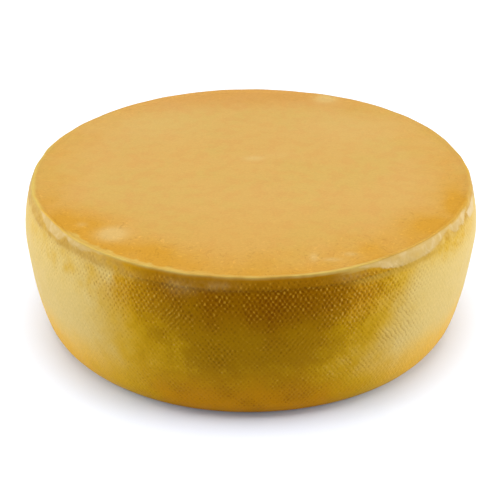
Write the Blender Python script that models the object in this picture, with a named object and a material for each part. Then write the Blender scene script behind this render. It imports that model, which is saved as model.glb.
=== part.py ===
"""A whole washed-rind cheese wheel, modelled as the one solid that it is.

Metres, +Z up. The origin is the middle of the wheel's plan, on the flat base that it rests on, and -Y is
its front. The half section is worked out from the named sizes below and spun, and the turned shape is
then made as uneven as a real wheel: out of round, leaning a little, with an edge that a knife has trimmed.
"""

from math import atan2, cos, degrees, pi, sin, sqrt, tau

import bmesh
import bpy
from mathutils import Vector

# Driving sizes of the wheel
HEIGHT = 0.100
RIM_RADIUS = 0.1398
BULGE_RADIUS = 0.1450
BULGE_HEIGHT = 0.0685

# How far the side draws in below the bulge, and the rounded edge that it stands on
BASE_DRAW_IN = 0.0136
DRAW_IN_POWER = 1.9
BASE_EDGE_WIDTH = 0.0070
BASE_EDGE_HEIGHT = 0.0135

# The thin lip that the mould's lid leaves round the top face, and the crown of that face
LIP_HEIGHT = 0.0012
LIP_WIDTH = 0.0046
LIP_ROUND = 0.0011
TOP_CROWN = 0.0007

# The smooth band under the lip, and the shallow groove that ends it
BAND_HEIGHT = 0.0072
BAND_SWELL = 0.0005
GROOVE_DEPTH = 0.0005
GROOVE_WIDTH = 0.0032

# Where a knife has trimmed the edge above the band: from and to in degrees round the wheel, and how deep.
# A depth below zero is a flap of rind that stands out.
KNIFE_TRIMS = (
    (-158, -142, 0.0009),
    (-62, -34, 0.0008),
    (-24, -14, -0.0007),
)
TRIM_RAMP_DEGREES = 4

# Unevenness as waves round the wheel, each with its lobes, its starting angle and its share
OUT_OF_ROUND = 0.0005
ROUND_WAVES = ((2, 2.2, 1.0), (3, 1.0, 0.5), (7, 0.4, 0.3))
BULGE_WANDER = 0.0005
BULGE_WAVES = ((2, 2.4, 1.0), (5, 0.0, 0.5))
BULGE_TWIST = 2.0
RIM_WANDER = 0.0004
RIM_WAVES = ((2, 5.1, 1.0), (5, 2.9, 0.4))
LIP_NIBBLE = 0.0003
NIBBLE_WAVES = ((11, 1.0, 0.5), (23, 4.0, 0.4), (37, 0.0, 0.4))
TOP_WANDER = 0.0003
TOP_WAVE_LENGTH = 0.17
LEAN = 0.0008

# How finely the solid is cut
SEGMENTS = 120
SIDE_ROWS = 11
EDGE_ROWS = 6
TOP_RINGS = 6
MERGE_DISTANCE = 1e-6
SHARP_ANGLE = pi / 5

RIND_COLOUR = (0.64, 0.38, 0.10, 1.0)
RIND_ROUGHNESS = 0.5

FACE_HEIGHT = HEIGHT - LIP_HEIGHT
FACE_RADIUS = RIM_RADIUS - LIP_WIDTH
CREST_RADIUS = RIM_RADIUS - LIP_ROUND
BAND_TOP = HEIGHT - LIP_ROUND
BAND_FOOT = HEIGHT - BAND_HEIGHT


def remove_scene_objects():
    for thing in list(bpy.data.objects):
        bpy.data.objects.remove(thing, do_unlink=True)


def smooth_step(low, high, value):
    """0 below low, 1 above high, and an even ramp with soft ends between them."""
    share = min(max((value - low) / (high - low), 0), 1)
    return share * share * (3 - 2 * share)


def side_radius(z):
    """Radius of the plain side: a bulge that draws in a little to the rim and more to the base."""
    if z > BULGE_HEIGHT:
        share = (z - BULGE_HEIGHT) / (HEIGHT - BULGE_HEIGHT)
        return BULGE_RADIUS - (BULGE_RADIUS - RIM_RADIUS) * share**2
    share = (BULGE_HEIGHT - z) / BULGE_HEIGHT
    return BULGE_RADIUS - BASE_DRAW_IN * share**DRAW_IN_POWER


def top_face():
    """From the middle of the crowned face out to the foot of the lip."""
    for ring in range(TOP_RINGS + 1):
        share = ring / TOP_RINGS
        yield FACE_RADIUS * share, FACE_HEIGHT + TOP_CROWN * (1 - share**2)


def lip():
    """Up from the face, over the crest and round to the outer edge."""
    for share in (1 / 3, 2 / 3):
        z = FACE_HEIGHT + LIP_HEIGHT * smooth_step(0, 1, share)
        yield FACE_RADIUS + (CREST_RADIUS - FACE_RADIUS) * share, z
    for turn in (0, pi / 4, pi / 2):
        yield CREST_RADIUS + LIP_ROUND * sin(turn), HEIGHT - LIP_ROUND * (1 - cos(turn))


def band_and_groove():
    """The smooth band, a little proud of the side, and the groove's bottom under it."""
    middle = (BAND_TOP + BAND_FOOT) / 2
    yield side_radius(middle) + BAND_SWELL / 2, middle
    yield side_radius(BAND_FOOT) + BAND_SWELL, BAND_FOOT
    groove = BAND_FOOT - GROOVE_WIDTH / 2
    yield side_radius(groove) - GROOVE_DEPTH, groove


def side():
    """Down the bulging side to the top of the rounded base edge."""
    top = BAND_FOOT - GROOVE_WIDTH
    for row in range(SIDE_ROWS):
        z = top + (BASE_EDGE_HEIGHT - top) * row / SIDE_ROWS
        yield side_radius(z), z


def base_edge():
    """Round the edge from the side down to the flat base."""
    for row in range(EDGE_ROWS + 1):
        turn = pi / 2 * row / EDGE_ROWS
        z = BASE_EDGE_HEIGHT * (1 - sin(turn))
        yield side_radius(z) - BASE_EDGE_WIDTH * (1 - cos(turn)), z


def waves(angle, table):
    return sum(share * cos(lobes * angle + start) for lobes, start, share in table)


def trim_depth(angle):
    """How deep the knife has trimmed the edge at an angle round the wheel."""
    turned = degrees(angle)
    depth = 0
    for start, end, deepest in KNIFE_TRIMS:
        rise = smooth_step(start, start + TRIM_RAMP_DEGREES, turned)
        fall = smooth_step(end - TRIM_RAMP_DEGREES, end, turned)
        depth += deepest * (rise - fall)
    return depth


def unevenness(point):
    """Where a point of the turned shape really lies on the uneven wheel. The base stays flat."""
    radius = sqrt(point.x**2 + point.y**2)
    if radius < MERGE_DISTANCE:
        return point
    angle = atan2(point.y, point.x)
    height_share = point.z / HEIGHT
    outer = (radius / RIM_RADIUS) ** 4

    round_error = OUT_OF_ROUND * waves(angle, ROUND_WAVES)
    belly = sin(pi * min(height_share, 1))
    wander = BULGE_WANDER * belly * waves(angle + BULGE_TWIST * height_share, BULGE_WAVES)

    # The trims and nibbles fade out down the band, and in from the foot of the lip
    edge = smooth_step(BAND_FOOT, BAND_TOP, point.z) * smooth_step(FACE_RADIUS, CREST_RADIUS, radius)
    nibble = LIP_NIBBLE * waves(angle, NIBBLE_WAVES) - trim_depth(angle)

    lift = RIM_WANDER * outer * waves(angle, RIM_WAVES)
    swell = TOP_WANDER * sin(tau * point.x / TOP_WAVE_LENGTH) * cos(tau * point.y / TOP_WAVE_LENGTH + 1)
    scale = 1 + ((round_error + wander) * outer + nibble * edge) / radius
    lean = LEAN * (height_share - 0.5)
    raised = point.z + (lift + swell * (1 - outer)) * height_share**4
    return Vector((point.x * scale + lean, point.y * scale, raised))


def to_middle(shape):
    """The move that puts the middle of the wheel's plan back on the origin."""
    across = [vertex.co.x for vertex in shape.verts]
    along = [vertex.co.y for vertex in shape.verts]
    return Vector((-(min(across) + max(across)) / 2, -(min(along) + max(along)) / 2, 0))


def rind_material():
    material = bpy.data.materials.new("rind")
    material.use_nodes = True
    shader = material.node_tree.nodes["Principled BSDF"]
    shader.inputs["Base Color"].default_value = RIND_COLOUR
    shader.inputs["Roughness"].default_value = RIND_ROUGHNESS
    shader.inputs["Metallic"].default_value = 0.0
    return material


def cheese_wheel():
    """Spins the half section, closes the base with one flat face and makes the solid uneven."""
    shape = bmesh.new()
    outline = [*top_face(), *lip(), *band_and_groove(), *side(), *base_edge()]
    section = [shape.verts.new((radius, 0, z)) for radius, z in outline]
    edges = [shape.edges.new(pair) for pair in zip(section, section[1:])]
    bmesh.ops.spin(
        shape,
        geom=section + edges,
        cent=(0, 0, 0),
        axis=(0, 0, 1),
        angle=tau,
        steps=SEGMENTS,
        use_merge=True,
    )
    bmesh.ops.remove_doubles(shape, verts=shape.verts[:], dist=MERGE_DISTANCE)
    bmesh.ops.contextual_create(shape, geom=[edge for edge in shape.edges if edge.is_boundary])
    for vertex in shape.verts:
        vertex.co = unevenness(vertex.co)
    bmesh.ops.translate(shape, verts=shape.verts[:], vec=to_middle(shape))
    bmesh.ops.recalc_face_normals(shape, faces=shape.faces[:])

    mesh = bpy.data.meshes.new("cheese_wheel")
    shape.to_mesh(mesh)
    shape.free()
    mesh.shade_smooth()
    mesh.set_sharp_from_angle(angle=SHARP_ANGLE)
    mesh.materials.append(rind_material())
    wheel = bpy.data.objects.new("cheese_wheel", mesh)
    bpy.context.scene.collection.objects.link(wheel)


remove_scene_objects()
cheese_wheel()
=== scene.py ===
"""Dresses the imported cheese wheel: its printed, trimmed and mottled rind, and a plain white studio.

Metres, +Z up, and -Y is the front, as in the frame. The rind is one closed mesh that stands for the
frame's plain wheel. Its half section is spun and then made uneven by the same waves and trims as that
wheel, with the fine forms added: the dots that the draining mould printed in the side, the cut facets of
the trimmed edge, dents and pits. Masks are kept on its vertices, and the rind's material reads them.
"""

from math import cos, hypot, pi, radians, sin, tau

import bmesh
import bpy
import numpy as np
from bpy.props import FloatProperty, FloatVectorProperty, IntProperty, PointerProperty
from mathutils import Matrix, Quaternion, Vector, noise


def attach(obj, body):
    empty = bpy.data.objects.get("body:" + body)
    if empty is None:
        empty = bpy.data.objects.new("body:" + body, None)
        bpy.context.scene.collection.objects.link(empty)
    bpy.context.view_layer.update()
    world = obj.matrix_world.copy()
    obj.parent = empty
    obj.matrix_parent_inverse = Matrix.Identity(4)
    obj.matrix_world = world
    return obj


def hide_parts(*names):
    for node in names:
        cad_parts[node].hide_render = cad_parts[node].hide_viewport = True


bl_info = {
    "name": "Washed-Rind Cheese Wheel",
    "version": (1, 0, 0),
    "blender": (4, 5, 0),
    "location": "3D View > Sidebar > Cheese",
    "description": "Models a whole cheese wheel with a printed, trimmed and mottled rind in a white studio",
    "category": "Add Mesh",
}

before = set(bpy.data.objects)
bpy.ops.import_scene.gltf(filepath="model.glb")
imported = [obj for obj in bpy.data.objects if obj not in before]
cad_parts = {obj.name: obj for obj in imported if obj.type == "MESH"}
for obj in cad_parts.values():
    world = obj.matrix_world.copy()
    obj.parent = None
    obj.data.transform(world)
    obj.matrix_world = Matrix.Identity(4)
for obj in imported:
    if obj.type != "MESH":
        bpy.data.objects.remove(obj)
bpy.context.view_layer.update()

# Where a knife has trimmed the edge above the band: from and to in degrees round the wheel, and how deep.
# A depth below zero is a flap of rind that stands out.
KNIFE_TRIMS = (
    (-158, -142, 0.0009),
    (-62, -34, 0.0008),
    (-24, -14, -0.0007),
)
TRIM_RAMP_DEGREES = 4

# The pale facets of the trims: where each starts, is full, fades and ends in degrees, how far below the
# crest its upper and its lower edge lie, how ragged it is and how white
FACETS = (
    (-158, -149, -144, -140.5, 0.0004, 0.0050, 0.20, 0.25),
    (-142, -139, -135, -127, 0.0006, 0.0030, 0.55, 0.10),
    (-65, -52, -43, -31, 0.0009, 0.0073, 0.15, 0.20),
    (-34, -30, -25, -21, 0.0016, 0.0074, 0.45, 0.40),
    (-22, -19, -15, -11, 0.0040, 0.0105, 0.40, 1.00),
)
# The pale line along the lip, worn rind and partly a painted highlight along the crest: the same four
# angles, how far it reaches in from the rim and down from the crest, and its strength
LIP_LINES_AND_HIGHLIGHT = (
    (-184, -183, 183, 184, 0.0012, 0.0004, 0.25),
    (149, 172, 183, 184, 0.0022, 0.0010, 0.75),
    (-184, -183, -162, -154, 0.0024, 0.0012, 0.75),
    (-146, -140, -108, -96, 0.0054, 0.0006, 0.62),
    (-103, -95, -88, -80, 0.0042, 0.0008, 0.40),
    (-88, -74, -71, -64, 0.0026, 0.0010, 0.72),
    (-71, -65, -62, -55, 0.0026, 0.0024, 0.70),
)

# Where the groove under the band starts, is full, fades and ends, in degrees
GROOVE_SHOWS = (-128, -106, -74, -46)
# Painted shade, in olive, under the cut facets: the four angles, four drops below the crest in the same
# order, strength
FACET_SHADE_LINES = (
    ((-70, -60, -46, -32), (0.0066, 0.0084, 0.0094, 0.0120), 1.0),
    ((-175, -160, -125, -112), (0.0030, 0.0055, 0.0080, 0.0110), 0.3),
    ((-38, -31, -24, -14), (0.0060, 0.0072, 0.0086, 0.0110), 0.6),
)

# Where the side's looks change, in degrees away from the middle of its bare front: the bloom sets in, the
# brown fades out, the bloom thins towards the back, and the print gets crisp again
BARE_FRONT = -91
BLOOM_SPAN = (9, 52)
BROWN_SPAN = (18, 42)
THIN_SPAN = (80, 130)
CRISP_SPAN = (100, 140)
# The same in height: the print sets in, the foot's warmer rind and painted bounce light end, the print gets
# deeper, the brown sets in, and the bloom thins towards the rim
PRINT_HEIGHTS = (0.002, 0.012)
FOOT_HEIGHTS = (0.008, 0.046)
DEEPER_HEIGHTS = (0.045, 0.085)
BROWN_HEIGHTS = (0.055, 0.088)
THIN_HEIGHTS = (0.070, 0.090)
# The mottled bloom at the left, and how far below the crest the print fades out on the band
MOTTLED_TURNS = (-165, -150, -122, -104)
MOTTLED_HEIGHTS = (0.060, 0.082)
PRINT_DROPS = (0.0012, 0.0044)
# Where the top face's colour reaches past the crest, how far, and how soft its edge is
TOP_EDGE_TURNS = (-70, -60, -10, 0)
TOP_EDGE_DROP = 0.0008
TOP_EDGE_SOFT = 0.0005
# How soft the upper and the lower edge of a facet are, the inner and the lower edge of a lip line, and the
# band's foot, and where the side's lumps set in above the base
FACET_SOFT = (0.0004, 0.0007)
LIP_SOFT = (0.0005, 0.0009)
BAND_SOFT = 0.0010
LUMP_HEIGHTS = (0.001, 0.010)
# Warmer rind near the rim and towards the front, and pinker rind along the back
WARM_RADII = (0.098, 0.134)
WARM_FRONT = (0.02, -0.08)
WARMEST_FRONT = (-0.03, -0.11)
PINK_TURNS = (40, 75, 110, 150)
PINK_RADII = (0.095, 0.130)

# Unevenness as waves round the wheel, each with its lobes, its starting angle and its share
ROUND_WAVES = ((2, 2.2, 1.0), (3, 1.0, 0.5), (7, 0.4, 0.3))
BULGE_WAVES = ((2, 2.4, 1.0), (5, 0.0, 0.5))
BULGE_TWIST = 2.0
RIM_WAVES = ((2, 5.1, 1.0), (5, 2.9, 0.4))
NIBBLE_WAVES = ((11, 1.0, 0.5), (23, 4.0, 0.4), (37, 0.0, 0.4))
TOP_WAVE_LENGTH = 0.17

# Soft patches on the side: degrees round the wheel, height, half width in degrees, half height, strength.
# These have a deeper print.
PRINT_PATCHES = (
    (-130, 0.0915, 3.5, 0.0050, 0.35),
    (-117, 0.0850, 5.0, 0.0080, 0.70),
    (-120, 0.0780, 6.0, 0.0110, 0.30),
    (-110, 0.0915, 2.5, 0.0030, 0.55),
    (-105, 0.0790, 4.0, 0.0070, 0.25),
    (-94, 0.0885, 3.5, 0.0060, 0.90),
    (-98, 0.0530, 4.0, 0.0080, 0.60),
    (-84, 0.0870, 6.5, 0.0070, 0.90),
    (-67, 0.0860, 8.0, 0.0080, 0.66),
    (-57, 0.0830, 6.5, 0.0090, 0.72),
    (-68, 0.0710, 6.0, 0.0080, 0.55),
    (-56, 0.0550, 8.0, 0.0150, 0.35),
    (-67, 0.0350, 7.0, 0.0090, 0.35),
)
# Browner rind
STAIN_PATCHES = (
    (-107, 0.0760, 6.0, 0.0200, -0.38),
    (-124, 0.0850, 5.5, 0.0100, 0.30),
    (-64, 0.0820, 6.0, 0.0120, 0.30),
)
# Slanting strokes instead of dots, which rise to the right where the strength is below zero
STROKE_PATCHES = (
    (-55, 0.0560, 9.0, 0.0180, 0.50),
    (-67, 0.0330, 7.0, 0.0110, 0.40),
    (-108, 0.0720, 4.0, 0.0090, -0.30),
    (-78, 0.0600, 5.0, 0.0100, -0.30),
)
# Pale bloom
BLOOM_PATCHES = (
    (-126, 0.0940, 7.5, 0.0060, 0.30),
    (-128, 0.0600, 9.0, 0.0200, 0.08),
    (-124, 0.0680, 6.5, 0.0220, -0.10),
    (-61, 0.0750, 7.0, 0.0200, -0.13),
    (-106, 0.0480, 5.0, 0.0200, 0.10),
    (-72, 0.0420, 5.0, 0.0180, 0.10),
    (-88, 0.0340, 26.0, 0.0120, 0.14),
    (-55, 0.0860, 6.0, 0.0100, -0.12),
    (-29, 0.0875, 10.0, 0.0080, -0.28),
    (-37, 0.0915, 5.0, 0.0045, -0.20),
)
# A greyish haze on and under the band
HAZE_PATCHES = (
    (-118, 0.0930, 3.0, 0.0030, 0.10),
    (-106.5, 0.0925, 3.6, 0.0042, 0.24),
    (-98, 0.0948, 4.5, 0.0028, 0.18),
    (-137, 0.0900, 8.0, 0.0050, 0.14),
    (-66, 0.0955, 4.0, 0.0024, 0.20),
)
# Soft marks on the top face: x, y, half lengths along both, strength. Pale ones, then warm ones.
PALE_MARKS = (
    (-0.0818, -0.0852, 0.0086, 0.0084, 1.60),
    (-0.1010, -0.0730, 0.0030, 0.0030, 0.50),
    (0.0020, 0.0200, 0.0062, 0.0030, 1.40),
    (0.0200, 0.0260, 0.0120, 0.0060, 0.25),
    (0.0540, 0.1220, 0.0075, 0.0070, 1.40),
    (0.0360, -0.1140, 0.0022, 0.0048, 0.90),
    (0.0460, -0.1165, 0.0055, 0.0018, 0.90),
    (0.0570, -0.1100, 0.0036, 0.0020, 0.80),
    (-0.0700, 0.0800, 0.0500, 0.0350, 0.40),
    (0.0700, 0.0750, 0.0500, 0.0350, 0.35),
)
WARM_MARKS = (
    (-0.1000, -0.0770, 0.0240, 0.0240, 0.55),
    (-0.0600, -0.1120, 0.0280, 0.0150, 0.35),
    (0.1270, -0.0450, 0.0080, 0.0200, 0.90),
    (0.1080, -0.0720, 0.0180, 0.0180, 0.35),
)

# How finely the rind is cut. Every zone is spun as a sector, which is then copied round. Those of the top
# face and the base are given by outer radius, columns and rings, and end at ZONE_GAP times the next radius.
# The side has whole rows of the print only, up to COARSE_SHARE of the height.
COLUMNS_PER_DOT = 3
SECTORS = 49
COARSE_SHARE = 0.47
BAND_ROWS = 8
OUTER_RINGS = (0.1325, 0.1340)
TOP_ZONES = ((0.1310, 441, 30), (0.0650, 147, 15), (0.0220, 49, 8))
BASE_ZONES = ((0.1180, 147, 3), (0.0400, 49, 2))
ZONE_GAP = 1.045
# How near doubles are merged, and how near to a circle an edge counts as part of it
MERGE_DISTANCE = 1e-6
ON_CIRCLE = 1e-5
ROW_LAYERS = ("printed_row", "row_shift", "way")

# The map for baking, in shares of its width: the side's two strips, and the squares of the top face and the
# base, each with its left, its foot and its size. A disc of radius FLAT_REACH fills its square.
STRIP_FEET = (0.003, 0.203)
STRIP_HEIGHT = 0.194
STRIP_LEFT = 0.004
STRIP_WIDTH = 0.992
TOP_SQUARE = (0.005, 0.405, 0.59)
BASE_SQUARE = (0.603, 0.603, 0.39)
FLAT_REACH = 0.1328

# How the colour of the dots drifts off the mesh's own: lumps to the metre, then how far in dots and in rows
DRIFT_SCALE = 260.0
DRIFT = (0.7, 1.4, 0.0)
# The faint, warm sheen of a washed rind
SHEEN = 0.06
SHEEN_TINT = (1.0, 0.72, 0.10, 1.0)

# The light table: its radius, its sides, and between which distances the camera sees it turn plain white
FLOOR_RADIUS = 12.0
FLOOR_SIDES = 96
FLOOR_WHITENS = (0.4, 1.2)
WHITE = (1.0, 1.0, 1.0, 1.0)
# The softboxes: name, place, size and the setting for its power. They face LIGHT_TARGET.
SOFTBOXES = (
    ("light_top", (0, 0, 1.35), (1.4, 1.4), "top_power"),
    ("light_left", (-0.95, -0.10, 0.42), (0.8, 0.7), "left_power"),
    ("light_right", (0.95, -0.10, 0.42), (0.8, 0.7), "right_power"),
)
LIGHT_TARGET = (0, 0, 0.05)
SENSOR_WIDTH = 36.0


def amount(name, description, default, unit="LENGTH"):
    """A setting with its unit."""
    return FloatProperty(name=name, description=description, default=default, unit=unit)


def tint(name, description, default):
    """A linear colour that the user can change."""
    return FloatVectorProperty(
        name=name, description=description, default=default, subtype="COLOR", size=3
    )


class WheelSizes(bpy.types.PropertyGroup):
    """The wheel's driving sizes, which are those of the frame's plain wheel"""

    height: amount("Height", "From the base to the lip's crest", 0.100)
    rim_radius: amount("Rim radius", "Outer edge of the lip", 0.1398)
    bulge_radius: amount("Bulge radius", "Widest part of the side", 0.1450)
    bulge_height: amount("Bulge height", "Where the side is widest", 0.0685)
    base_draw_in: amount("Base draw-in", "How far the side draws in below the bulge", 0.0136)
    draw_in_power: amount("Draw-in power", "How late the side draws in", 1.9, "NONE")
    base_edge_width: amount("Base edge width", "Width of the rounded foot", 0.0070)
    base_edge_height: amount("Base edge height", "Height of the rounded foot", 0.0135)
    lip_height: amount("Lip height", "Lip's crest above the top face", 0.0012)
    lip_width: amount("Lip width", "From the lip's foot to its outer edge", 0.0046)
    lip_round: amount("Lip rounding", "Radius of the lip's outer edge", 0.0011)
    top_crown: amount("Top crown", "Rise of the top face's middle", 0.0007)
    band_height: amount("Band height", "From the lip's crest down to the foot of the smooth band", 0.0072)
    band_swell: amount("Band swell", "How far the band's foot stands proud", 0.0005)
    groove_depth: amount("Groove depth", "Groove under the band", 0.0005)
    groove_width: amount("Groove width", "Groove under the band", 0.0032)
    out_of_round: amount("Out of round", "Unevenness of the plan", 0.0005)
    bulge_wander: amount("Bulge wander", "Unevenness of the side", 0.0005)
    rim_wander: amount("Rim wander", "Rise and dip of the rim", 0.0004)
    lip_nibble: amount("Lip nibble", "Raggedness of the lip", 0.0003)
    top_wander: amount("Top wander", "Unevenness of the top face", 0.0003)
    lean: amount("Lean", "Sideways lean of the top over the base", 0.0008)


class RindRelief(bpy.types.PropertyGroup):
    """The rind's fine forms"""

    dots_around: IntProperty(
        name="Dots around",
        description="Printed dots in one row round the wheel, a multiple of 49",
        default=294,
        min=49,
    )
    row_pitch: amount("Row pitch", "Between two rows of dots, down the side", 0.0021)
    dot_height: amount("Dot height", "Height of a dot over the pits beside it", 0.00045)
    dot_stray: FloatProperty(
        name="Dot stray",
        description="How far dots stray along their rows, as a share of a dot",
        default=0.20,
        subtype="FACTOR",
    )
    lump_height: amount("Lump height", "Soft lumps of the side", 0.00025)
    dent_depth: amount("Dent depth", "Fine dents of the top face", 0.00014)
    facet_scrape: amount("Facet scrape", "Roughness of the cut facets", 0.00020)
    groove_fade: FloatProperty(
        name="Groove fade",
        description="How much of the groove runs out to the sides",
        default=0.85,
        subtype="FACTOR",
    )


class RindColours(bpy.types.PropertyGroup):
    """The rind's colours, linear"""

    top_tan: tint("Top tan", "The top face", (0.408, 0.247, 0.069))
    top_yellow: tint("Top yellow", "Yellower clouds of the top face", (0.396, 0.252, 0.068))
    top_pink: tint("Top pink", "Pinker clouds of the top face", (0.405, 0.216, 0.064))
    top_pale: tint("Top pale", "Pale marks on the top face", (0.430, 0.285, 0.098))
    top_orange: tint("Top orange", "Warmer rind near the rim", (0.388, 0.195, 0.022))
    side_amber: tint("Side amber", "The side's washed rind", (0.308, 0.149, 0.0003))
    side_brown: tint("Side brown", "Browner rind, under the rim and in clouds", (0.224, 0.080, 0.0003))
    side_gold: tint("Side gold", "Rind where thin bloom begins", (0.500, 0.285, 0.003))
    side_rust: tint("Side rust", "The same rind near the rim", (0.500, 0.225, 0.004))
    pit_tint: tint("Pit tint", "What the pits of the print leave of the rind's colour", (0.50, 0.37, 0.12))
    # Near the foot the rind is warmer, and these colours are also painted brighter there as bounce light
    # from the floor
    foot_orange_and_bounce: tint("Foot orange", "Warmer rind near the foot", (0.500, 0.212, 0.0004))
    foot_bloom_and_bounce: tint("Foot glow", "Warmer bloom near the foot", (0.680, 0.376, 0.038))
    bloom_cream: tint("Bloom cream", "Pale bloom on the side", (0.560, 0.406, 0.134))
    band_brown: tint("Band brown", "The smooth band under the lip", (0.325, 0.148, 0.004))
    # Painted shade, in olive, under the cut facets
    facet_shade_olive: tint("Groove olive", "Rind under the cut facets", (0.410, 0.242, 0.030))
    # Lighter dots: paler print, and partly a painted highlight on the dots' tops
    dot_gold_and_highlight: tint("Dot gold", "Printed dots on amber rind", (0.405, 0.205, 0.012))
    dot_cream_and_highlight: tint("Dot cream", "Printed dots where the bloom is thick", (0.620, 0.412, 0.092))
    # The pale line along the lip: worn rind, and partly a painted highlight along the crest
    lip_yellow_and_highlight: tint("Lip yellow", "The pale line along the lip", (0.425, 0.298, 0.074))
    cut_cream: tint("Cut cream", "Cut facets of the edge", (0.456, 0.314, 0.108))
    cut_white: tint("Cut white", "Paler flecks on the cut facets", (0.540, 0.405, 0.205))


class StudioSettings(bpy.types.PropertyGroup):
    """The camera, the lights and the floor"""

    distance: amount("Camera distance", "From the camera to its target", 0.952)
    elevation: amount("Camera elevation", "Above the horizon", radians(28.28), "ROTATION")
    roll: amount("Camera roll", "Lifts the picture's right side", radians(0.272), "ROTATION")
    target_height: amount("Target height", "Height of the camera's target", 0.04204)
    sideways: amount("Camera sideways", "Camera and target moved along X", -0.0008)
    lens: amount("Lens", "Focal length", 103.78, "CAMERA")
    top_power: amount("Top light", "Overhead softbox", 30.0, "POWER")
    left_power: amount("Left light", "Left softbox", 7.6, "POWER")
    right_power: amount("Right light", "Right softbox", 8.5, "POWER")
    fill: amount("Fill", "Strength of the surrounding light", 0.08, "NONE")
    floor_colour: tint("Floor", "The white floor", (0.705, 0.737, 0.805))
    floor_glow: tint("Floor glow", "Light from the light table that is the floor", (0.065, 0.085, 0.115))


def smooth_step(low, high, value):
    """0 below low, 1 above high, and an even ramp with soft ends between them."""
    share = np.clip((value - low) / (high - low), 0, 1)
    return share * share * (3 - 2 * share)


def window(value, start, full, fade, end):
    """A soft window that is 1 from full to fade and 0 outside start and end."""
    return smooth_step(start, full, value) * (1 - smooth_step(fade, end, value))


def patches(first, second, table):
    """The sum of soft round patches, each with its middle, its half widths and its strength."""
    total = np.zeros_like(first)
    for a, b, half_a, half_b, strength in table:
        total += strength * np.exp(-(((first - a) / half_a) ** 2) - ((second - b) / half_b) ** 2)
    return total


def waves(angle, table):
    return sum(share * np.cos(lobes * angle + start) for lobes, start, share in table)


def made_mesh(shape, name):
    """The finished bmesh as a mesh."""
    mesh = bpy.data.meshes.new(name)
    shape.to_mesh(mesh)
    shape.free()
    return mesh


def placed(name, data):
    """A new object in the scene."""
    made = bpy.data.objects.new(name, data)
    bpy.context.scene.collection.objects.link(made)
    return made


def cloud(points, size, start=0.0, octaves=2):
    """Soft noise from about -1 to 1, in lumps about as wide as size. Each start reads another part of it."""
    offset = Vector((start, start * 0.7 + 3.1, -start))
    return np.array([noise.fractal(Vector(p) + offset, 1.0, 2.0, octaves) for p in points / size])


class Profile:
    """The wheel's half section, from the named sizes."""

    def __init__(self, sizes):
        self.s = sizes
        self.face_height = sizes.height - sizes.lip_height
        self.face_radius = sizes.rim_radius - sizes.lip_width
        self.crest_radius = sizes.rim_radius - sizes.lip_round
        self.band_top = sizes.height - sizes.lip_round
        self.band_foot = sizes.height - sizes.band_height

    def side_radius(self, z):
        s = self.s
        above = np.clip((z - s.bulge_height) / (s.height - s.bulge_height), 0, None)
        below = np.clip((s.bulge_height - z) / s.bulge_height, 0, None)
        plain = s.bulge_radius - (s.bulge_radius - s.rim_radius) * above**2
        return plain - s.base_draw_in * below**s.draw_in_power

    def top_height(self, radius):
        return self.face_height + self.s.top_crown * (1 - (radius / self.face_radius) ** 2)

    def rim_rows(self):
        """Down from the outermost zone of the top face over the lip, as far as the band's foot."""
        s = self.s
        for radius in (*OUTER_RINGS, self.face_radius):
            yield radius, self.top_height(radius)
        for share in (0.25, 0.5, 0.75):
            z = self.face_height + s.lip_height * float(smooth_step(0, 1, share))
            yield self.face_radius + (self.crest_radius - self.face_radius) * share, z
        for turn in (0, pi / 6, pi / 3, pi / 2):
            yield self.crest_radius + s.lip_round * sin(turn), s.height - s.lip_round * (1 - cos(turn))
        for row in range(1, BAND_ROWS):
            share = row / BAND_ROWS
            z = self.band_top + (self.band_foot - self.band_top) * share
            yield float(self.side_radius(z)) + s.band_swell * share, z

    def side_line(self, steps=900):
        """The finely cut line from the band's foot over the groove, the side and the rounded foot."""
        s = self.s
        straight = np.linspace(self.band_foot, s.base_edge_height, steps)
        turn = np.linspace(0, pi / 2, steps)[1:]
        z = np.concatenate([straight, s.base_edge_height * (1 - np.sin(turn))])
        radius = self.side_radius(z)
        across = np.clip((self.band_foot - z) / s.groove_width, 0, 1)
        radius += s.band_swell * (1 - across) ** 4 - s.groove_depth * np.sin(pi * across)
        radius[steps:] -= s.base_edge_width * (1 - np.cos(turn))
        way = np.concatenate([[0], np.cumsum(np.hypot(np.diff(radius), np.diff(z)))])
        return way, radius, z


def section_rows(profile, relief):
    """Every row of the rim and the side: radius, height, row of the print and its shift in dots."""
    way, radius, z = profile.side_line()
    count = round(way[-1] / relief.row_pitch)
    rows = []
    for rim_radius, rim_z in profile.rim_rows():
        rows.append((rim_radius, rim_z, (profile.band_foot - rim_z) * count / way[-1], 0.0))

    # Whole rows on the lower side, and half rows above. The columns swing half a dot to and fro, so that a
    # vertex lies on every dot.
    coarse_from = profile.s.height * COARSE_SHARE
    row = 0.0
    while row < count:
        at = way[-1] * row / count
        height = float(np.interp(at, way, z))
        swing = abs((row + 1) % 2 - 1) / 2
        rows.append((float(np.interp(at, way, radius)), height, row, swing))
        row += 1.0 if height < coarse_from and row == int(row) else 0.5
    rows.append((float(radius[-1]), 0.0, float(count), 0.0))
    return rows


def spun(rows, columns, flat):
    """A half section spun into a sector and the sector copied all round.

    Each vertex keeps its row, its shift and its way along the section, or -1 on a flat zone.
    """
    shape = bmesh.new()
    layers = [shape.verts.layers.float.new(name) for name in ROW_LAYERS]
    line = []
    way = 0.0
    for radius, z, row, shift in rows:
        if line:
            way += hypot(radius - line[-1].co.x, z - line[-1].co.z)
        line.append(shape.verts.new((radius, 0, z)))
        for layer, value in zip(layers, (row, shift, -1.0 if flat else way)):
            line[-1][layer] = value
    section = line + [shape.edges.new(pair) for pair in zip(line, line[1:])]
    about = {"cent": (0, 0, 0), "axis": (0, 0, 1)}
    sector = tau / SECTORS
    bmesh.ops.spin(shape, geom=section, angle=sector, steps=columns // SECTORS, **about)
    whole = shape.verts[:] + shape.edges[:] + shape.faces[:]
    bmesh.ops.spin(shape, geom=whole, angle=tau - sector, steps=SECTORS - 1, use_duplicate=True, **about)
    return made_mesh(shape, "zone")


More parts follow.
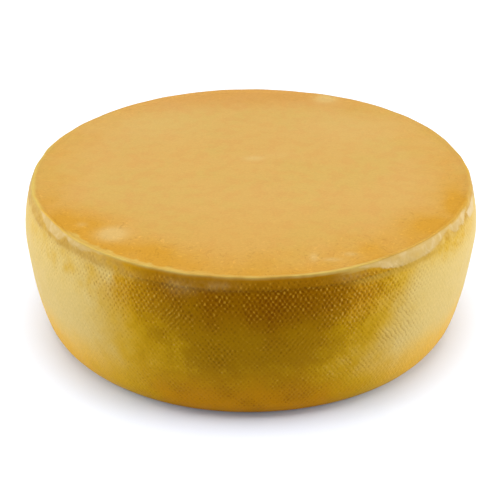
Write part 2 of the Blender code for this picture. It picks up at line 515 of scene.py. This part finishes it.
def rim_loop(shape, radius, z):
    """The open edges of the shape that lie on one circle."""
    found = []
    for edge in shape.edges:
        if not edge.is_boundary:
            continue
        ends = [end.co for end in edge.verts]
        level = all(abs(end.z - z) < ON_CIRCLE for end in ends)
        if level and all(abs(hypot(end.x, end.y) - radius) < ON_CIRCLE for end in ends):
            found.append(edge)
    return found


def turned_rind(profile, relief):
    """The plain turned rind: rim and side in fine columns, top face and base in ever coarser zones."""
    rows = section_rows(profile, relief)
    parts = [spun(rows, relief.dots_around * COLUMNS_PER_DOT, flat=False)]
    joins = []

    # The zones go inwards, on the top face from the rim's first row and on the base from the foot's last
    for outer, zones, height_at in (
        (rows[0][:2], TOP_ZONES, profile.top_height),
        (rows[-1][:2], BASE_ZONES, lambda radius: 0.0),
    ):
        for index, (radius, columns, rings) in enumerate(zones):
            inner = zones[index + 1][0] * ZONE_GAP if index + 1 < len(zones) else 0.0
            zone = []
            for ring in range(rings + 1):
                at = radius + (inner - radius) * ring / rings
                zone.append((at, float(height_at(at)), -1.0, 0.0))
            parts.append(spun(zone, columns, flat=True))
            joins.append((outer, zone[0][:2]))
            outer = zone[-1][:2]

    shape = bmesh.new()
    for part in parts:
        shape.from_mesh(part)
        bpy.data.meshes.remove(part)
    bmesh.ops.remove_doubles(shape, verts=shape.verts[:], dist=MERGE_DISTANCE)
    for outer, inner in joins:
        bmesh.ops.bridge_loops(shape, edges=rim_loop(shape, *outer) + rim_loop(shape, *inner))
    bmesh.ops.recalc_face_normals(shape, faces=shape.faces[:])
    return made_mesh(shape, "washed_rind")


def read_layer(mesh, name):
    values = np.empty(len(mesh.vertices), dtype=np.float32)
    mesh.attributes[name].data.foreach_get("value", values)
    return values.astype(float)


def trim_depth(turned):
    """How deep the knife has trimmed the edge, at angles in degrees round the wheel."""
    depth = np.zeros_like(turned)
    for start, end, deepest in KNIFE_TRIMS:
        rise = smooth_step(start, start + TRIM_RAMP_DEGREES, turned)
        fall = smooth_step(end - TRIM_RAMP_DEGREES, end, turned)
        depth += deepest * (rise - fall)
    return depth


class Rind:
    """Every vertex of the turned rind as arrays, with the masks and the relief worked out on them."""

    def __init__(self, mesh, profile, sizes, relief):
        self.mesh, self.p, self.s, self.relief = mesh, profile, sizes, relief
        place = np.empty(len(mesh.vertices) * 3, dtype=np.float32)
        mesh.vertices.foreach_get("co", place)
        x, y, self.z = place.reshape(-1, 3).astype(float).T
        self.row, self.shift, self.way = (read_layer(mesh, name) for name in ROW_LAYERS)
        self.radius = np.hypot(x, y)
        self.straight = np.arctan2(y, x)
        self.angle = self.straight + self.shift * tau / relief.dots_around
        self.turned = np.degrees(np.arctan2(np.sin(self.angle), np.cos(self.angle)))
        self.point = np.column_stack(
            [self.radius * np.cos(self.angle), self.radius * np.sin(self.angle), self.z]
        )
        self.upper = self.z > sizes.height / 2
        self.beyond = self.upper * (self.radius > profile.crest_radius - ON_CIRCLE)
        self.drop = np.where(self.beyond, sizes.height - self.z, 0)
        self.on_lip = smooth_step(profile.face_radius, profile.crest_radius, self.radius) * self.upper

        # The top's colour ends at the crest, and a little below it along the trimmed right
        past = np.where(self.beyond, self.drop, self.radius - profile.crest_radius)
        edge = TOP_EDGE_DROP * window(self.turned, *TOP_EDGE_TURNS)
        self.on_top = self.upper * (1 - smooth_step(edge - TOP_EDGE_SOFT, edge + TOP_EDGE_SOFT, past))
        stray = cloud(self.point, 0.009, 41.0) + 0.6 * cloud(self.point, 0.0035, 44.0)
        self.stray = relief.dot_stray * stray

        # Noise that the masks share, from wide lumps to grains
        self.broad = cloud(self.point, 0.050, 2.0)
        self.medium = cloud(self.point, 0.018, 5.0)
        self.small = cloud(self.point, 0.0060, 9.0)
        self.grain = cloud(self.point, 0.0022, 12.0)
        self.apart = np.abs((self.turned - BARE_FRONT + 180) % 360 - 180)
        self.mottled = window(self.turned, *MOTTLED_TURNS) * smooth_step(*MOTTLED_HEIGHTS, self.z)

    def facets(self):
        """How much of a cut facet each vertex shows, and how white it is there."""
        ragged = cloud(self.point * (1, 1, 0.3), 0.0060, 14.0, 3)
        shown, white = np.zeros_like(self.drop), np.zeros_like(self.drop)
        upper, lower = FACET_SOFT
        for *turns, top, foot, raggedness, whiteness in FACETS:
            turn = window(self.turned, *turns)
            reach = top + (foot - top) * turn * (1 + raggedness * ragged)
            inside = smooth_step(top - upper, top + upper, self.drop) * self.beyond * (turn > 0.01)
            inside *= 1 - smooth_step(reach, reach + lower, self.drop)
            shown = np.maximum(shown, inside)
            white = np.maximum(white, whiteness * inside)
        return shown, white

    def lip_line_and_highlight(self):
        """How pale the line along the lip is at each vertex: worn rind, and partly a painted highlight along
        the crest.
        """
        small = self.small
        total = np.zeros_like(self.drop)
        soft, lower = LIP_SOFT
        for *turns, inward, down, strength in LIP_LINES_AND_HIGHLIGHT:
            inner = self.s.rim_radius - inward * (1 + 0.3 * small)
            line = smooth_step(inner - soft, inner + soft, self.radius) * self.upper
            line *= 1 - smooth_step(down, down + lower, self.drop)
            total += strength * window(self.turned, *turns) * line
        return total * (1 + 0.35 * small)

    def bloom(self, foot):
        """Pale bloom, which covers the wheel's left and right, and comes and goes at the back."""
        medium, small, mottled = self.medium, self.small, self.mottled
        bloom = smooth_step(*BLOOM_SPAN, self.apart + 2.5 * self.broad + 1.5 * medium)
        bloom *= 1 - (0.30 - 0.25 * self.broad) * smooth_step(*THIN_SPAN, self.apart)
        bloom += patches(self.turned, self.z, BLOOM_PATCHES) * (1 + 0.8 * small + 0.5 * self.grain)
        bloom += bloom * (0.06 + 0.16 * mottled) * medium + bloom * (0.04 + 0.20 * mottled) * small
        bloom *= (1 - 0.20 * foot) * (1 - 0.22 * smooth_step(*THIN_HEIGHTS, self.z))
        return np.clip(bloom, 0, 1)

    def stain(self, bloom):
        """Browner rind, under the rim at the front and in clouds where no bloom lies."""
        stain = 0.85 * smooth_step(*BROWN_HEIGHTS, self.z + 0.004 * self.medium)
        stain *= 1 - smooth_step(*BROWN_SPAN, self.apart)
        stain += patches(self.turned, self.z, STAIN_PATCHES)
        return stain + (1 - bloom) * np.clip(0.30 * self.medium + 0.10 * self.small, -0.1, 0.5)

    def print_depth(self, bloom):
        """How deep the print is: deepest under the band at the front, and filled where the bloom lies."""
        medium, small, grain = self.medium, self.small, self.grain
        spots = patches(self.turned, self.z, PRINT_PATCHES)
        depth = 0.44 + 0.10 * smooth_step(*DEEPER_HEIGHTS, self.z) * (1 - bloom)
        depth += spots + 0.35 * smooth_step(*CRISP_SPAN, self.apart) + 0.30 * self.mottled
        depth *= np.clip(0.90 + 0.6 * medium + 0.5 * small + 0.9 * grain, 0.25, 1.6)
        # On the band, where rows are below zero, the print is milder and ends under the crest
        reach = np.where(self.row >= 0, 1, 0.75 * smooth_step(*PRINT_DROPS, self.drop))
        depth *= (1 - 0.60 * bloom) * reach * smooth_step(*PRINT_HEIGHTS, self.z)
        return depth

    def band(self):
        """The smooth band under the lip, with a ragged foot."""
        foot = self.p.band_foot
        band = smooth_step(foot - BAND_SOFT, foot + BAND_SOFT, self.z + 0.0012 * self.small)
        return band * (0.80 + 0.5 * self.small + 0.3 * self.grain)

    def painted_facet_shade(self):
        """Painted shade, in olive, under the cut facets."""
        total = np.zeros_like(self.drop)
        for turns, drops, strength in FACET_SHADE_LINES:
            total += strength * window(self.turned, *turns) * window(self.drop, *drops)
        return total * (1 + 0.4 * self.small)

    def warmth(self, x, y):
        """Warmer rind of the top face, near the rim and towards the front."""
        near_rim = smooth_step(*WARM_RADII, self.radius + 0.005 * self.medium)
        warm = near_rim * (0.30 + 0.20 * smooth_step(*WARM_FRONT, y)) * (1 + 0.5 * self.medium)
        return warm + (patches(x, y, WARM_MARKS) + 0.26 * smooth_step(*WARMEST_FRONT, y))

    def pinkness(self):
        """Pinker rind of the top face, along the back and in clouds."""
        along_back = window(self.turned, *PINK_TURNS) * smooth_step(*PINK_RADII, self.radius)
        return along_back + 0.25 * self.broad

    def masks(self):
        """What the finish needs to know of each vertex, as shares from 0 to 1."""
        off_top = 1 - self.on_top
        foot = 1 - smooth_step(*FOOT_HEIGHTS, self.z + 0.004 * self.medium)
        bloom = self.bloom(foot)
        shown, white = self.facets()
        haze = patches(self.turned, self.z, HAZE_PATCHES) * (1 + 0.7 * self.small + 0.7 * self.grain)
        x, y = self.point[:, 0], self.point[:, 1]
        found = {
            "bloom": bloom * off_top,
            "foot": foot * off_top,
            "stain": self.stain(bloom) * off_top,
            "band": self.band() * off_top,
            # The groove mask is painted shade, in olive, under the cut facets
            "groove": self.painted_facet_shade() * off_top,
            "print_depth": self.print_depth(bloom),
            "stroke": 0.5 + patches(self.turned, self.z, STROKE_PATCHES),
            # The lip mask: worn rind, and partly a painted highlight along the crest
            "lip": self.lip_line_and_highlight(),
            "cut": np.maximum(shown * (0.90 + 0.20 * self.small), haze * off_top),
            "white": white,
            "top": self.on_top,
            "warm": self.warmth(x, y) * self.on_top,
            "pink": self.pinkness() * self.on_top,
            "pale": patches(x, y, PALE_MARKS) * self.on_top,
        }
        return {name: np.clip(values, 0, 1) for name, values in found.items()}

    def printed(self, stroke):
        """The mould's print: two sets of slanting waves that cross in dots, or run as strokes."""
        dots = self.straight * self.relief.dots_around + tau * (self.shift + self.stray)
        down = pi * self.row
        return (1 - stroke) * np.cos(dots + down) + stroke * np.cos(dots - down)

    def places(self, masks):
        """Where each vertex lies on the uneven, printed and trimmed rind."""
        s, p, relief = self.s, self.p, self.relief
        radius, z, angle = self.radius, self.z, self.angle
        height_share = z / s.height
        outer = (radius / s.rim_radius) ** 4

        round_error = s.out_of_round * waves(angle, ROUND_WAVES)
        belly = np.sin(pi * np.minimum(height_share, 1))
        wander = s.bulge_wander * belly * waves(angle + BULGE_TWIST * height_share, BULGE_WAVES)

        # The trims and nibbles of the edge fade out down the band
        fade = smooth_step(p.band_foot, p.band_top, z) * self.on_lip
        nibble = (s.lip_nibble * waves(angle, NIBBLE_WAVES) - trim_depth(self.turned)) * fade
        nibble += relief.facet_scrape * cloud(self.point, 0.0040, 51.0) * masks["cut"]

        # The band's swell and its groove show best at the front, and run out to the left and the right
        across = np.clip((p.band_foot - z) / s.groove_width, 0, 1)
        share = np.clip((p.band_top - z) / (p.band_top - p.band_foot), 0, 1)
        ledge = s.band_swell * np.where(across > 0, (1 - across) ** 4, share)
        ledge -= s.groove_depth * np.sin(pi * across)
        kept = window(self.turned, *GROOVE_SHOWS) * (0.60 + 0.6 * cloud(self.point, 0.0080, 57.0))
        nibble -= ledge * (1 - np.clip(kept, 0, 1)) * self.beyond * relief.groove_fade

        lumps = cloud(self.point, 0.030, 20.0) + 0.5 * cloud(self.point, 0.011, 24.0)
        side = smooth_step(*LUMP_HEIGHTS, z) * (1 - self.on_top)
        swell = relief.lump_height * lumps * side
        dots = relief.dot_height / 2 * self.printed(masks["stroke"]) * masks["print_depth"]
        moved = radius + (round_error + wander) * outer + nibble + swell + dots

        x, y = self.point[:, 0], self.point[:, 1]
        lift = s.rim_wander * outer * waves(angle, RIM_WAVES)
        dish = s.top_wander * np.sin(tau * x / TOP_WAVE_LENGTH) * np.cos(tau * y / TOP_WAVE_LENGTH + 1)
        raised = z + (lift + dish * (1 - outer)) * height_share**4
        dents = cloud(self.point, 0.016, 30.0, 3) + 0.6 * cloud(self.point, 0.0050, 33.0)
        raised += relief.dent_depth * dents * self.on_top
        lean = s.lean * (height_share - 0.5)
        return np.column_stack([moved * np.cos(angle) + lean, moved * np.sin(angle), raised])

    def add_maps(self):
        """A map of the print in dots and rows, and a map that gives every part of the rind its own room."""
        mesh = self.mesh
        corner = np.empty(len(mesh.loops), dtype=np.int32)
        mesh.loops.foreach_get("vertex_index", corner)
        first = np.empty(len(mesh.polygons), dtype=np.int32)
        mesh.polygons.foreach_get("loop_start", first)
        sizes = np.diff(np.append(first, len(corner)))
        x, y = self.radius * np.cos(self.straight), self.radius * np.sin(self.straight)
        middle_x = np.repeat(np.add.reduceat(x[corner], first) / sizes, sizes)
        middle_y = np.repeat(np.add.reduceat(y[corner], first) / sizes, sizes)
        turn = np.arctan2(middle_y, middle_x)
        angle = self.straight[corner]
        angle += tau * np.round((turn - angle) / tau)

        dots = angle * self.relief.dots_around / tau + (self.shift + self.stray)[corner]
        self.add_map("print", dots, self.row[corner])

        # The side as two strips, front and back, then the top face and the base as discs
        flat = np.repeat(np.minimum.reduceat(self.way[corner], first) < 0, sizes)
        front = turn < 0
        strip_across = np.where(front, angle + pi, angle) / pi
        strip_down = self.way[corner] / self.way.max()
        strip_foot = np.where(front, *STRIP_FEET)
        upper = self.upper[corner]
        left, foot, size = (np.where(upper, *pair) for pair in zip(TOP_SQUARE, BASE_SQUARE))
        disc_across = left + size * (x[corner] / FLAT_REACH + 1) / 2
        disc_along = foot + size * (y[corner] / FLAT_REACH + 1) / 2
        across = np.where(flat, disc_across, STRIP_LEFT + STRIP_WIDTH * strip_across)
        along = np.where(flat, disc_along, strip_foot + STRIP_HEIGHT * (1 - strip_down))
        self.add_map("OFBake", across, along)

    def add_map(self, name, across, along):
        layer = self.mesh.uv_layers.new(name=name)
        layer.uv.foreach_set("vector", np.column_stack([across, along]).astype(np.float32).ravel())

    def finish(self, masks):
        """Adds the maps and the masks, moves the vertices and centres the plan as the frame's wheel is."""
        self.add_maps()
        place = self.places(masks)
        middle = (place.max(0) + place.min(0)) / 2
        place -= (middle[0], middle[1], 0)
        self.mesh.vertices.foreach_set("co", place.astype(np.float32).ravel())
        for name in ROW_LAYERS:
            self.mesh.attributes.remove(self.mesh.attributes[name])
        for name, values in masks.items():
            layer = self.mesh.attributes.new(name, "FLOAT", "POINT")
            layer.data.foreach_set("value", values.astype(np.float32))
        self.mesh.update()
        self.mesh.shade_smooth()


class Finish:
    """Adds and links the nodes of one material."""

    def __init__(self, name):
        self.material = bpy.data.materials.new(name)
        self.material.use_nodes = True
        self.tree = self.material.node_tree
        self.shader = self.tree.nodes["Principled BSDF"]

    def node(self, kind, inputs=(), **settings):
        made = self.tree.nodes.new(kind)
        for name, value in settings.items():
            setattr(made, name, value)
        for key, value in dict(inputs).items():
            self.plug(made.inputs[key], value)
        return made

    def plug(self, socket, value):
        """Links another socket to this one, or sets its value. A colour of three values gets its alpha."""
        if isinstance(value, bpy.types.NodeSocket):
            self.tree.links.new(value, socket)
        elif socket.type == "RGBA" and len(value) == 3:
            socket.default_value = (*value, 1.0)
        else:
            socket.default_value = value

    def mask(self, name):
        return self.node("ShaderNodeAttribute", attribute_name=name).outputs["Fac"]

    def math(self, operation, first, second=0.0, third=0.0, clamp=False):
        inputs = {0: first, 1: second, 2: third}
        return self.node("ShaderNodeMath", inputs, operation=operation, use_clamp=clamp).outputs[0]

    def vector_math(self, operation, first, second):
        return self.node("ShaderNodeVectorMath", {0: first, 1: second}, operation=operation).outputs[0]

    def ramp(self, value, low, high, start=0.0, end=1.0):
        inputs = {"Value": value, "From Min": low, "From Max": high, "To Min": start, "To Max": end}
        return self.node("ShaderNodeMapRange", inputs, interpolation_type="SMOOTHSTEP").outputs[0]

    def blend(self, share, first, second):
        inputs = {0: share, 6: first, 7: second}
        return self.node("ShaderNodeMix", inputs, data_type="RGBA").outputs[2]

    def shade(self, value, base):
        """A colour made darker or lighter by a value about 1."""
        thrice = self.node("ShaderNodeCombineXYZ", {0: value, 1: value, 2: value}).outputs[0]
        return self.vector_math("MULTIPLY", base, thrice)

    def clouds(self, size, detail=2.0, roughness=0.5, distortion=0.0):
        """Soft noise from 0 to 1 in the piece's own space, with lumps about as wide as size."""
        inputs = {
            "Vector": self.node("ShaderNodeTexCoord").outputs["Object"],
            "Scale": 1 / size,
            "Detail": detail,
            "Roughness": roughness,
            "Distortion": distortion,
        }
        return self.node("ShaderNodeTexNoise", inputs).outputs["Fac"]


def print_waves(f):
    """The slanting waves of the mesh, read from the map of the print, and a chance value for each dot."""
    place = f.node("ShaderNodeTexCoord").outputs["Object"]
    drift = f.node("ShaderNodeTexNoise", {"Vector": place, "Scale": DRIFT_SCALE, "Detail": 1.0})
    moved = f.vector_math("MULTIPLY", drift.outputs["Color"], DRIFT)
    where = f.vector_math("ADD", f.node("ShaderNodeUVMap", uv_map="print").outputs["UV"], moved)
    parts = f.node("ShaderNodeSeparateXYZ", {"Vector": where})
    half = f.math("MULTIPLY", parts.outputs["Y"], 0.5)
    falling = f.math("SUBTRACT", parts.outputs["X"], half)
    rising = f.math("ADD", parts.outputs["X"], half)
    cell = f.node("ShaderNodeCombineXYZ", {0: f.math("ROUND", falling), 1: f.math("ROUND", rising)})
    chance = f.node("ShaderNodeTexWhiteNoise", {"Vector": cell.outputs[0]}, noise_dimensions="2D")
    stroke = f.mask("stroke")
    share = f.math("MULTIPLY", f.math("COSINE", f.math("MULTIPLY", falling, tau)), stroke)
    rest = f.math("COSINE", f.math("MULTIPLY", rising, tau))
    waves_met = f.math("MULTIPLY_ADD", rest, f.math("SUBTRACT", 1.0, stroke), share)
    return waves_met, chance.outputs["Value"]


def top_colour(f, c, fine, medium, broad):
    """Tan with yellower and pinker clouds, warmer near the rim, with pale marks, scratches and speckles."""
    top = f.blend(f.ramp(broad, 0.44, 0.58), c.top_tan, c.top_yellow)
    pink = f.math("ADD", f.mask("pink"), f.ramp(medium, 0.46, 0.62, 0.0, 0.45))
    top = f.blend(pink, top, c.top_pink)
    top = f.blend(f.mask("warm"), top, c.top_orange)
    top = f.blend(f.math("MULTIPLY", f.mask("pale"), 0.9), top, c.top_pale)
    scratches = f.clouds(0.0060, 2.0, 0.55, 3.0)
    worn = f.ramp(f.mask("warm"), 0.05, 0.5, 0.15, 1.0)
    top = f.blend(f.math("MULTIPLY", f.ramp(scratches, 0.42, 0.30), worn), top, f.shade(0.86, top))
    top = f.blend(f.math("MULTIPLY", f.ramp(scratches, 0.60, 0.70), worn), top, f.shade(1.16, top))
    return f.shade(f.ramp(fine, 0.30, 0.70, 0.96, 1.04), top)


def side_colour(f, c, fine, medium, print_height, chance):
    """Amber that is brown under the rim and warmer at the foot, with painted bounce light from the floor
    there, pale bloom, pits, lighter dots that are partly a painted highlight, and painted shade under the
    cut facets.
    """
    # Warmer rind at the foot, painted brighter there as bounce light from the floor
    side = f.blend(f.mask("foot"), c.side_amber, c.foot_orange_and_bounce)
    side = f.blend(f.mask("stain"), side, c.side_brown)
    bloom = f.mask("bloom")
    patchy = f.math("MULTIPLY_ADD", f.math("SUBTRACT", medium, 0.5), 0.36, bloom)
    patchy = f.blend(f.ramp(bloom, 0.0, 0.2), bloom, patchy)
    gold = f.blend(f.math("MULTIPLY", f.mask("stain"), 0.75), c.side_gold, c.side_rust)
    side = f.blend(f.ramp(patchy, 0.01, 0.46), side, gold)
    # Bloom near the foot: warmer, and painted brighter as bounce light from the floor
    pale = f.blend(f.mask("foot"), c.bloom_cream, c.foot_bloom_and_bounce)
    side = f.blend(f.ramp(patchy, 0.26, 1.0), side, pale)
    side = f.blend(f.math("MULTIPLY", f.mask("band"), 0.6), side, c.band_brown)
    dark = f.vector_math("MULTIPLY", side, tuple(c.pit_tint))
    # Lighter dots: paler print, and partly a painted highlight on the dots' tops
    light = f.blend(patchy, c.dot_gold_and_highlight, c.dot_cream_and_highlight)
    side = f.blend(f.math("MULTIPLY", f.ramp(print_height, 0.05, -0.65), 0.55), side, dark)
    # Where the dots stand highest they are painted lighter: paler print, and partly a painted highlight
    lit = f.math("MULTIPLY", f.ramp(print_height, 0.12, 0.75), f.ramp(chance, 0.10, 0.95, 0.30, 1.00))
    side = f.blend(lit, side, light)
    # Painted shade, in olive, under the cut facets
    side = f.blend(f.math("MULTIPLY", f.mask("groove"), 0.8), side, c.facet_shade_olive)
    return f.shade(f.ramp(fine, 0.30, 0.70, 0.95, 1.05), side)


def rind_finish(c):
    f = Finish("washed_rind")
    waves_met, chance = print_waves(f)
    fine = f.clouds(0.0016, 3.0, 0.6)
    medium = f.clouds(0.010, 3.0, 0.55)
    broad = f.clouds(0.040, 3.0, 0.55, 0.4)
    uneven = f.math("MULTIPLY", f.mask("print_depth"), f.ramp(fine, 0.36, 0.64, 0.40, 1.40))
    print_height = f.math("MULTIPLY", waves_met, uneven)

    side = side_colour(f, c, fine, medium, print_height, chance)
    rind = f.blend(f.mask("top"), side, top_colour(f, c, fine, medium, broad))
    # The pale line along the lip: worn rind, and partly a painted highlight along the crest
    rind = f.blend(f.mask("lip"), rind, c.lip_yellow_and_highlight)
    flecks = f.clouds(0.0060, 2.0, 0.6, 0.3)
    whiter = f.math("ADD", f.mask("white"), f.ramp(flecks, 0.45, 0.70, -0.15, 0.45), clamp=True)
    pale = f.blend(whiter, c.cut_cream, c.cut_white)
    cut = f.math("MULTIPLY", f.mask("cut"), f.ramp(flecks, 0.30, 0.45, 0.70, 1.0))
    rind = f.blend(cut, rind, pale)
    f.plug(f.shader.inputs["Base Color"], rind)
    f.plug(f.shader.inputs["Roughness"], f.ramp(medium, 0.3, 0.7, 0.46, 0.60))
    f.plug(f.shader.inputs["Specular IOR Level"], SHEEN)
    f.plug(f.shader.inputs["Specular Tint"], SHEEN_TINT)

    grain = f.math("MULTIPLY", fine, 0.30)
    grain = f.math("MULTIPLY_ADD", medium, 0.5, grain)
    height = f.math("ADD", print_height, grain)
    bump = f.node("ShaderNodeBump", {"Strength": 0.6, "Distance": 0.00025, "Height": height})
    f.plug(f.shader.inputs["Normal"], bump.outputs["Normal"])
    return f.material


class CHEESE_OT_rind(bpy.types.Operator):
    """Model the cheese wheel with its printed and trimmed rind"""

    bl_idname = "cheese.rind"
    bl_label = "Rind"
    bl_options = {"REGISTER", "UNDO"}

    def execute(self, context):
        scene = context.scene
        profile = Profile(scene.cheese_sizes)
        mesh = turned_rind(profile, scene.cheese_relief)
        rind = Rind(mesh, profile, scene.cheese_sizes, scene.cheese_relief)
        rind.finish(rind.masks())
        mesh.materials.append(rind_finish(scene.cheese_colours))
        piece = placed("washed_rind", mesh)
        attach(piece, "root")
        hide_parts("cheese_wheel")
        return {"FINISHED"}


def softbox(name, place, size, power):
    """A rectangular area light that faces the wheel."""
    light = bpy.data.lights.new(name, "AREA")
    light.shape = "RECTANGLE"
    light.size, light.size_y = size
    light.energy = power
    lamp = placed(name, light)
    lamp.location = place
    lamp.rotation_mode = "QUATERNION"
    lamp.rotation_quaternion = (Vector(LIGHT_TARGET) - Vector(place)).to_track_quat("-Z", "Y")


def studio_floor(settings):
    """A white light table, which the camera sees as plain white from further off."""
    shape = bmesh.new()
    bmesh.ops.create_circle(shape, cap_ends=True, radius=FLOOR_RADIUS, segments=FLOOR_SIDES)
    mesh = made_mesh(shape, "floor")
    f = Finish("floor_white")
    f.plug(f.shader.inputs["Base Color"], settings.floor_colour)
    place = f.node("ShaderNodeTexCoord").outputs["Object"]
    away = f.node("ShaderNodeVectorMath", {0: place}, operation="LENGTH").outputs["Value"]
    seen = f.node("ShaderNodeLightPath").outputs["Is Camera Ray"]
    whitened = f.math("MULTIPLY", f.ramp(away, *FLOOR_WHITENS), seen)
    f.plug(f.shader.inputs["Emission Color"], f.blend(whitened, settings.floor_glow, WHITE))
    f.plug(f.shader.inputs["Emission Strength"], 1.0)
    f.plug(f.shader.inputs["Roughness"], 1.0)
    f.plug(f.shader.inputs["Specular IOR Level"], 0.0)
    mesh.materials.append(f.material)
    floor = placed("floor", mesh)


def studio_world(settings):
    """A dim surrounding light, and plain white where the camera looks past the floor."""
    world = bpy.data.worlds.new("studio")
    world.use_nodes = True
    tree = world.node_tree
    shown = tree.nodes.new("ShaderNodeLightPath").outputs["Is Camera Ray"]
    strength = tree.nodes.new("ShaderNodeMix")
    strength.inputs["A"].default_value = settings.fill
    strength.inputs["B"].default_value = 1.0
    tree.links.new(shown, strength.inputs["Factor"])
    tree.links.new(strength.outputs["Result"], tree.nodes["Background"].inputs["Strength"])
    tree.nodes["Background"].inputs["Color"].default_value = WHITE
    bpy.context.scene.world = world


def studio_camera(settings):
    data = bpy.data.cameras.new("camera")
    data.lens = settings.lens
    data.sensor_width = SENSOR_WIDTH
    data.clip_start = 0.01
    camera = placed("camera", data)
    back = Vector((0, -cos(settings.elevation), sin(settings.elevation)))
    target = Vector((settings.sideways, 0, settings.target_height))
    camera.location = target + back * settings.distance
    camera.rotation_mode = "QUATERNION"
    level = (-back).to_track_quat("-Z", "Y")
    camera.rotation_quaternion = level @ Quaternion((0, 0, 1), -settings.roll)
    bpy.context.scene.camera = camera


class CHEESE_OT_studio(bpy.types.Operator):
    """Set up the white floor, the softboxes and the camera"""

    bl_idname = "cheese.studio"
    bl_label = "Studio"
    bl_options = {"REGISTER", "UNDO"}

    def execute(self, context):
        settings = context.scene.cheese_studio
        studio_floor(settings)
        studio_world(settings)
        studio_camera(settings)
        for name, place, size, power in SOFTBOXES:
            softbox(name, place, size, getattr(settings, power))
        context.scene.view_settings.view_transform = "Standard"
        return {"FINISHED"}


class CHEESE_PT_wheel(bpy.types.Panel):
    """Sizes, colours and steps of the cheese wheel"""

    bl_label = "Cheese Wheel"
    bl_idname = "CHEESE_PT_wheel"
    bl_space_type = "VIEW_3D"
    bl_region_type = "UI"
    bl_category = "Cheese"

    def draw(self, context):
        for operator in OPERATORS:
            self.layout.operator(operator.bl_idname)
        for name in GROUPS:
            group = getattr(context.scene, name)
            box = self.layout.box()
            for setting in group.__annotations__:
                box.prop(group, setting)


OPERATORS = (CHEESE_OT_rind, CHEESE_OT_studio)
GROUPS = {
    "cheese_sizes": WheelSizes,
    "cheese_relief": RindRelief,
    "cheese_colours": RindColours,
    "cheese_studio": StudioSettings,
}


def register():
    for cls in (*GROUPS.values(), *OPERATORS, CHEESE_PT_wheel):
        bpy.utils.register_class(cls)
    for name, group in GROUPS.items():
        setattr(bpy.types.Scene, name, PointerProperty(type=group))


def unregister():
    for name in GROUPS:
        delattr(bpy.types.Scene, name)
    for cls in reversed((*GROUPS.values(), *OPERATORS, CHEESE_PT_wheel)):
        bpy.utils.unregister_class(cls)


def main():
    register()
    bpy.ops.cheese.rind()
    bpy.ops.cheese.studio()


if __name__ == "__main__":
    main()
